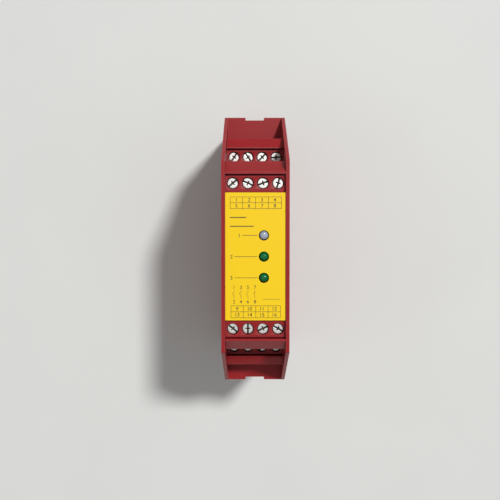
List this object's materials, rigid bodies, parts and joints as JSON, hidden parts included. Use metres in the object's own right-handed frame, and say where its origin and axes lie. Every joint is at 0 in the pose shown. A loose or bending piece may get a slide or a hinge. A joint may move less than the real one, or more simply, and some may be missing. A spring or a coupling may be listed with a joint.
{
  "type": "safety relay",
  "caption": "Slim rail-mounted safety relay: stepped moulded case, clamp terminals at both ends, plain front label and indicator lamps.",
  "frame": {"origin": "centre of the case's width and height on its back face", "axes": "+X to the right of the front, +Y towards the top end, +Z out of the front"},
  "size_m": [0.0226, 0.099, 0.082],
  "materials": {
    "housing_red": "fine moulded texture",
    "label_yellow": "printed polyester sheet",
    "tinned_copper": "tin plated",
    "screw_steel": "zinc plated",
    "cage_steel": "zinc plated, dull",
    "circuit_board": "green solder resist",
    "lamp_clear": "clear moulded lamp",
    "lamp_green": "green moulded lamp, unlit",
    "relay_case": "pale moulded case",
    "capacitor_sleeve": "shrunk sleeve",
    "chip_black": "moulded epoxy",
    "suppressor_blue": "dipped",
    "latch_black": "moulded",
    "spring_steel": "plain"
  },
  "bodies": {
    "housing": {"housing_body": "housing_red", "front_cover": "housing_red", "front_label": "label_yellow", "terminal_block_top_outer": "housing_red", "contact_bars_row_1": "tinned_copper", "terminal_block_top_inner": "housing_red", "contact_bars_row_2": "tinned_copper", "terminal_block_bottom_inner": "housing_red", "contact_bars_row_3": "tinned_copper", "terminal_block_bottom_outer": "housing_red", "contact_bars_row_4": "tinned_copper", "header_board_top": "circuit_board", "header_board_bottom": "circuit_board", "main_board": "circuit_board", "display_board": "circuit_board", "led_power": "lamp_clear", "led_channel_1": "lamp_green", "led_channel_2": "lamp_green", "relay_top": "relay_case", "relay_bottom": "relay_case", "power_capacitor": "capacitor_sleeve", "input_fuse": "chip_black", "surge_suppressor": "suppressor_blue", "logic_chip": "chip_black", "latch_spring": "spring_steel"},
    "clamp_screw_1_1": {"clamp_screw_1_1": "screw_steel"},
    "clamp_cage_1_1": {"clamp_cage_1_1": "cage_steel"},
    "clamp_screw_1_2": {"clamp_screw_1_2": "screw_steel"},
    "clamp_cage_1_2": {"clamp_cage_1_2": "cage_steel"},
    "clamp_screw_1_3": {"clamp_screw_1_3": "screw_steel"},
    "clamp_cage_1_3": {"clamp_cage_1_3": "cage_steel"},
    "clamp_screw_1_4": {"clamp_screw_1_4": "screw_steel"},
    "clamp_cage_1_4": {"clamp_cage_1_4": "cage_steel"},
    "clamp_screw_2_1": {"clamp_screw_2_1": "screw_steel"},
    "clamp_cage_2_1": {"clamp_cage_2_1": "cage_steel"},
    "clamp_screw_2_2": {"clamp_screw_2_2": "screw_steel"},
    "clamp_cage_2_2": {"clamp_cage_2_2": "cage_steel"},
    "clamp_screw_2_3": {"clamp_screw_2_3": "screw_steel"},
    "clamp_cage_2_3": {"clamp_cage_2_3": "cage_steel"},
    "clamp_screw_2_4": {"clamp_screw_2_4": "screw_steel"},
    "clamp_cage_2_4": {"clamp_cage_2_4": "cage_steel"},
    "clamp_screw_3_1": {"clamp_screw_3_1": "screw_steel"},
    "clamp_cage_3_1": {"clamp_cage_3_1": "cage_steel"},
    "clamp_screw_3_2": {"clamp_screw_3_2": "screw_steel"},
    "clamp_cage_3_2": {"clamp_cage_3_2": "cage_steel"},
    "clamp_screw_3_3": {"clamp_screw_3_3": "screw_steel"},
    "clamp_cage_3_3": {"clamp_cage_3_3": "cage_steel"},
    "clamp_screw_3_4": {"clamp_screw_3_4": "screw_steel"},
    "clamp_cage_3_4": {"clamp_cage_3_4": "cage_steel"},
    "clamp_screw_4_1": {"clamp_screw_4_1": "screw_steel"},
    "clamp_cage_4_1": {"clamp_cage_4_1": "cage_steel"},
    "clamp_screw_4_2": {"clamp_screw_4_2": "screw_steel"},
    "clamp_cage_4_2": {"clamp_cage_4_2": "cage_steel"},
    "clamp_screw_4_3": {"clamp_screw_4_3": "screw_steel"},
    "clamp_cage_4_3": {"clamp_cage_4_3": "cage_steel"},
    "clamp_screw_4_4": {"clamp_screw_4_4": "screw_steel"},
    "clamp_cage_4_4": {"clamp_cage_4_4": "cage_steel"},
    "rail_latch": {"rail_latch": "latch_black"}
  },
  "joints": [
    {"name": "screw_turn_1_1", "type": "hinge", "parent": "housing", "child": "clamp_screw_1_1", "pos_m": [-0.0075, 0.0338, 0.0647], "axis": [0, 0, -1], "range_deg": [0, 2160]},
    {"name": "cage_rise_1_1", "type": "slide", "parent": "housing", "child": "clamp_cage_1_1", "axis": [0, 0, 1], "range_m": [0, 0.003]},
    {"name": "screw_turn_1_2", "type": "hinge", "parent": "housing", "child": "clamp_screw_1_2", "pos_m": [-0.0025, 0.0338, 0.0647], "axis": [0, 0, -1], "range_deg": [0, 2160]},
    {"name": "cage_rise_1_2", "type": "slide", "parent": "housing", "child": "clamp_cage_1_2", "axis": [0, 0, 1], "range_m": [0, 0.003]},
    {"name": "screw_turn_1_3", "type": "hinge", "parent": "housing", "child": "clamp_screw_1_3", "pos_m": [0.0025, 0.0338, 0.0647], "axis": [0, 0, -1], "range_deg": [0, 2160]},
    {"name": "cage_rise_1_3", "type": "slide", "parent": "housing", "child": "clamp_cage_1_3", "axis": [0, 0, 1], "range_m": [0, 0.003]},
    {"name": "screw_turn_1_4", "type": "hinge", "parent": "housing", "child": "clamp_screw_1_4", "pos_m": [0.0075, 0.0338, 0.0647], "axis": [0, 0, -1], "range_deg": [0, 2160]},
    {"name": "cage_rise_1_4", "type": "slide", "parent": "housing", "child": "clamp_cage_1_4", "axis": [0, 0, 1], "range_m": [0, 0.003]},
    {"name": "screw_turn_2_1", "type": "hinge", "parent": "housing", "child": "clamp_screw_2_1", "pos_m": [-0.0075, 0.0242, 0.0797], "axis": [0, 0, -1], "range_deg": [0, 2160]},
    {"name": "cage_rise_2_1", "type": "slide", "parent": "housing", "child": "clamp_cage_2_1", "axis": [0, 0, 1], "range_m": [0, 0.003]},
    {"name": "screw_turn_2_2", "type": "hinge", "parent": "housing", "child": "clamp_screw_2_2", "pos_m": [-0.0025, 0.0242, 0.0797], "axis": [0, 0, -1], "range_deg": [0, 2160]},
    {"name": "cage_rise_2_2", "type": "slide", "parent": "housing", "child": "clamp_cage_2_2", "axis": [0, 0, 1], "range_m": [0, 0.003]},
    {"name": "screw_turn_2_3", "type": "hinge", "parent": "housing", "child": "clamp_screw_2_3", "pos_m": [0.0025, 0.0242, 0.0797], "axis": [0, 0, -1], "range_deg": [0, 2160]},
    {"name": "cage_rise_2_3", "type": "slide", "parent": "housing", "child": "clamp_cage_2_3", "axis": [0, 0, 1], "range_m": [0, 0.003]},
    {"name": "screw_turn_2_4", "type": "hinge", "parent": "housing", "child": "clamp_screw_2_4", "pos_m": [0.0075, 0.0242, 0.0797], "axis": [0, 0, -1], "range_deg": [0, 2160]},
    {"name": "cage_rise_2_4", "type": "slide", "parent": "housing", "child": "clamp_cage_2_4", "axis": [0, 0, 1], "range_m": [0, 0.003]},
    {"name": "screw_turn_3_1", "type": "hinge", "parent": "housing", "child": "clamp_screw_3_1", "pos_m": [-0.0075, -0.0242, 0.0797], "axis": [0, 0, -1], "range_deg": [0, 2160]},
    {"name": "cage_rise_3_1", "type": "slide", "parent": "housing", "child": "clamp_cage_3_1", "axis": [0, 0, 1], "range_m": [0, 0.003]},
    {"name": "screw_turn_3_2", "type": "hinge", "parent": "housing", "child": "clamp_screw_3_2", "pos_m": [-0.0025, -0.0242, 0.0797], "axis": [0, 0, -1], "range_deg": [0, 2160]},
    {"name": "cage_rise_3_2", "type": "slide", "parent": "housing", "child": "clamp_cage_3_2", "axis": [0, 0, 1], "range_m": [0, 0.003]},
    {"name": "screw_turn_3_3", "type": "hinge", "parent": "housing", "child": "clamp_screw_3_3", "pos_m": [0.0025, -0.0242, 0.0797], "axis": [0, 0, -1], "range_deg": [0, 2160]},
    {"name": "cage_rise_3_3", "type": "slide", "parent": "housing", "child": "clamp_cage_3_3", "axis": [0, 0, 1], "range_m": [0, 0.003]},
    {"name": "screw_turn_3_4", "type": "hinge", "parent": "housing", "child": "clamp_screw_3_4", "pos_m": [0.0075, -0.0242, 0.0797], "axis": [0, 0, -1], "range_deg": [0, 2160]},
    {"name": "cage_rise_3_4", "type": "slide", "parent": "housing", "child": "clamp_cage_3_4", "axis": [0, 0, 1], "range_m": [0, 0.003]},
    {"name": "screw_turn_4_1", "type": "hinge", "parent": "housing", "child": "clamp_screw_4_1", "pos_m": [-0.0075, -0.0338, 0.0647], "axis": [0, 0, -1], "range_deg": [0, 2160]},
    {"name": "cage_rise_4_1", "type": "slide", "parent": "housing", "child": "clamp_cage_4_1", "axis": [0, 0, 1], "range_m": [0, 0.003]},
    {"name": "screw_turn_4_2", "type": "hinge", "parent": "housing", "child": "clamp_screw_4_2", "pos_m": [-0.0025, -0.0338, 0.0647], "axis": [0, 0, -1], "range_deg": [0, 2160]},
    {"name": "cage_rise_4_2", "type": "slide", "parent": "housing", "child": "clamp_cage_4_2", "axis": [0, 0, 1], "range_m": [0, 0.003]},
    {"name": "screw_turn_4_3", "type": "hinge", "parent": "housing", "child": "clamp_screw_4_3", "pos_m": [0.0025, -0.0338, 0.0647], "axis": [0, 0, -1], "range_deg": [0, 2160]},
    {"name": "cage_rise_4_3", "type": "slide", "parent": "housing", "child": "clamp_cage_4_3", "axis": [0, 0, 1], "range_m": [0, 0.003]},
    {"name": "screw_turn_4_4", "type": "hinge", "parent": "housing", "child": "clamp_screw_4_4", "pos_m": [0.0075, -0.0338, 0.0647], "axis": [0, 0, -1], "range_deg": [0, 2160]},
    {"name": "cage_rise_4_4", "type": "slide", "parent": "housing", "child": "clamp_cage_4_4", "axis": [0, 0, 1], "range_m": [0, 0.003]},
    {"name": "latch_slide", "type": "slide", "parent": "housing", "child": "rail_latch", "axis": [0, -1, 0], "range_m": [0, 0.003], "stiffness_N_per_m": 1500, "springref_m": -0.002, "deforming": ["latch_spring"]}
  ],
  "couplings": [
    {"joint": "screw_turn_1_1", "follows": "cage_rise_1_1", "rad_per_m": 12566},
    {"joint": "screw_turn_1_2", "follows": "cage_rise_1_2", "rad_per_m": 12566},
    {"joint": "screw_turn_1_3", "follows": "cage_rise_1_3", "rad_per_m": 12566},
    {"joint": "screw_turn_1_4", "follows": "cage_rise_1_4", "rad_per_m": 12566},
    {"joint": "screw_turn_2_1", "follows": "cage_rise_2_1", "rad_per_m": 12566},
    {"joint": "screw_turn_2_2", "follows": "cage_rise_2_2", "rad_per_m": 12566},
    {"joint": "screw_turn_2_3", "follows": "cage_rise_2_3", "rad_per_m": 12566},
    {"joint": "screw_turn_2_4", "follows": "cage_rise_2_4", "rad_per_m": 12566},
    {"joint": "screw_turn_3_1", "follows": "cage_rise_3_1", "rad_per_m": 12566},
    {"joint": "screw_turn_3_2", "follows": "cage_rise_3_2", "rad_per_m": 12566},
    {"joint": "screw_turn_3_3", "follows": "cage_rise_3_3", "rad_per_m": 12566},
    {"joint": "screw_turn_3_4", "follows": "cage_rise_3_4", "rad_per_m": 12566},
    {"joint": "screw_turn_4_1", "follows": "cage_rise_4_1", "rad_per_m": 12566},
    {"joint": "screw_turn_4_2", "follows": "cage_rise_4_2", "rad_per_m": 12566},
    {"joint": "screw_turn_4_3", "follows": "cage_rise_4_3", "rad_per_m": 12566},
    {"joint": "screw_turn_4_4", "follows": "cage_rise_4_4", "rad_per_m": 12566}
  ]
}
